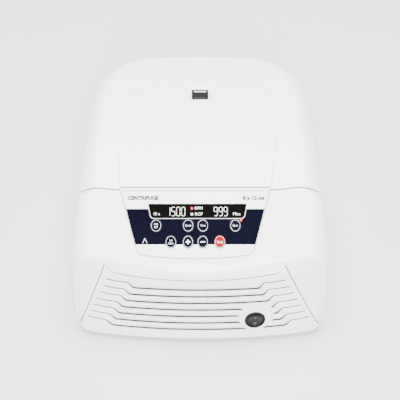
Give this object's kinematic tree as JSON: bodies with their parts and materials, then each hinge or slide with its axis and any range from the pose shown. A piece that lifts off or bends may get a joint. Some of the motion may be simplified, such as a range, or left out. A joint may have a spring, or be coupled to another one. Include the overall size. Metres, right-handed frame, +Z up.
{
  "type": "laboratory centrifuge",
  "caption": "Bench-top laboratory centrifuge: a low white casing with a sloping control panel, a front grille and a hinged lid with a viewing window over an angle rotor.",
  "frame": {"origin": "middle of the casing's footprint at bench height, under the feet", "axes": "+Z up, the front with grille and control panel faces -Y, +X to the right seen from the front"},
  "size_m": [0.3092, 0.364, 0.1863],
  "materials": {
    "casing": "satin",
    "lid": "satin",
    "grille": "satin",
    "overlay": "satin",
    "key_dark": "satin",
    "key_red": "satin",
    "display": "gloss",
    "led_module": "gloss",
    "led_red": "gloss",
    "switch_black": "matte",
    "board": "satin",
    "component": "matte",
    "window": "gloss",
    "steel": "brushed",
    "plate": "satin",
    "aluminium": "satin",
    "copper": "satin",
    "magnet": "satin",
    "brass": "satin",
    "rubber": "matte",
    "liner": "satin",
    "cable": "matte"
  },
  "bodies": {
    "base": {"housing": "casing", "base_plate": "plate", "feet": "rubber", "front_grille": "grille", "panel_overlay": "overlay", "display_lens": "display", "display_board": "board", "led_displays": "led_module", "tact_switches": "component", "start_led": "led_red", "power_switch_body": "switch_black", "chamber_bowl": "steel", "bowl_gasket": "rubber", "guard_ring": "steel", "motor_housing": "aluminium", "motor_stator": "copper", "motor_flange": "aluminium", "motor_dampers": "rubber", "damper_posts": "steel", "spindle_bearings": "steel", "spindle_boot": "rubber", "drive_board": "board", "board_standoffs": "brass", "heat_sink": "aluminium", "capacitors": "component", "fan_frame": "switch_black", "hinge_brackets": "steel", "hinge_pins": "steel", "lock_solenoid": "plate", "rear_plate": "plate", "mains_inlet": "switch_black", "imbalance_sensor": "component", "lid_sensor": "component", "base_screws": "steel", "flange_screws": "steel", "ribbon_cable": "cable"},
    "lid": {"lid_shell": "lid", "lid_liner": "liner", "viewport_lens": "window", "lid_striker": "steel", "lid_hinge_arms": "steel", "lid_magnet": "magnet", "lid_screws": "steel"},
    "rotor": {"rotor_body": "aluminium", "tube_sleeves": "aluminium", "rotor_nut": "steel", "spindle": "steel", "motor_magnet": "magnet"},
    "lock_bolt": {"lock_bolt": "steel"},
    "fan": {"fan_impeller": "switch_black"},
    "power_rocker": {"power_rocker": "switch_black"},
    "fuse_drawer": {"fuse_drawer": "component"},
    "key_program": {"key_program": "key_dark"},
    "key_speed": {"key_speed": "key_dark"},
    "key_time": {"key_time": "key_dark"},
    "key_start": {"key_start": "key_dark"},
    "key_lid": {"key_lid": "key_dark"},
    "key_plus": {"key_plus": "key_dark"},
    "key_minus": {"key_minus": "key_dark"},
    "key_stop": {"key_stop": "key_red"}
  },
  "joints": [
    {"name": "lid_hinge", "type": "hinge", "parent": "base", "child": "lid", "pos_m": [0, 0.179, 0.147], "axis": [-1, 0, 0], "range_deg": [0, 75]},
    {"name": "rotor_spin", "type": "hinge", "parent": "base", "child": "rotor", "pos_m": [0, 0.045, 0.1], "axis": [0, 0, 1], "continuous": true},
    {"name": "lock_slide", "type": "slide", "parent": "base", "child": "lock_bolt", "axis": [0, 1, 0], "range_m": [0, 0.008], "stiffness_N_per_m": 60},
    {"name": "fan_spin", "type": "hinge", "parent": "base", "child": "fan", "pos_m": [-0.054, 0.163, 0.05], "axis": [0, 1, 0], "continuous": true},
    {"name": "power_rock", "type": "hinge", "parent": "base", "child": "power_rocker", "pos_m": [0.06703, -0.17595, 0.03805], "axis": [-0.9966, -0.0822, 0.01], "range_deg": [0, 12]},
    {"name": "fuse_drawer_slide", "type": "slide", "parent": "base", "child": "fuse_drawer", "axis": [0, 1, 0], "range_m": [0, 0.012]},
    {"name": "key_program_press", "type": "slide", "parent": "base", "child": "key_program", "axis": [0, 0.5736, -0.8192], "range_m": [0, 0.0005], "stiffness_N_per_m": 2000},
    {"name": "key_speed_press", "type": "slide", "parent": "base", "child": "key_speed", "axis": [0, 0.5736, -0.8192], "range_m": [0, 0.0005], "stiffness_N_per_m": 2000},
    {"name": "key_time_press", "type": "slide", "parent": "base", "child": "key_time", "axis": [0, 0.5736, -0.8192], "range_m": [0, 0.0005], "stiffness_N_per_m": 2000},
    {"name": "key_start_press", "type": "slide", "parent": "base", "child": "key_start", "axis": [0, 0.5736, -0.8192], "range_m": [0, 0.0005], "stiffness_N_per_m": 2000},
    {"name": "key_lid_press", "type": "slide", "parent": "base", "child": "key_lid", "axis": [0, 0.5736, -0.8192], "range_m": [0, 0.0005], "stiffness_N_per_m": 2000},
    {"name": "key_plus_press", "type": "slide", "parent": "base", "child": "key_plus", "axis": [0, 0.5736, -0.8192], "range_m": [0, 0.0005], "stiffness_N_per_m": 2000},
    {"name": "key_minus_press", "type": "slide", "parent": "base", "child": "key_minus", "axis": [0, 0.5736, -0.8192], "range_m": [0, 0.0005], "stiffness_N_per_m": 2000},
    {"name": "key_stop_press", "type": "slide", "parent": "base", "child": "key_stop", "axis": [0, 0.5736, -0.8192], "range_m": [0, 0.0005], "stiffness_N_per_m": 2000}
  ]
}
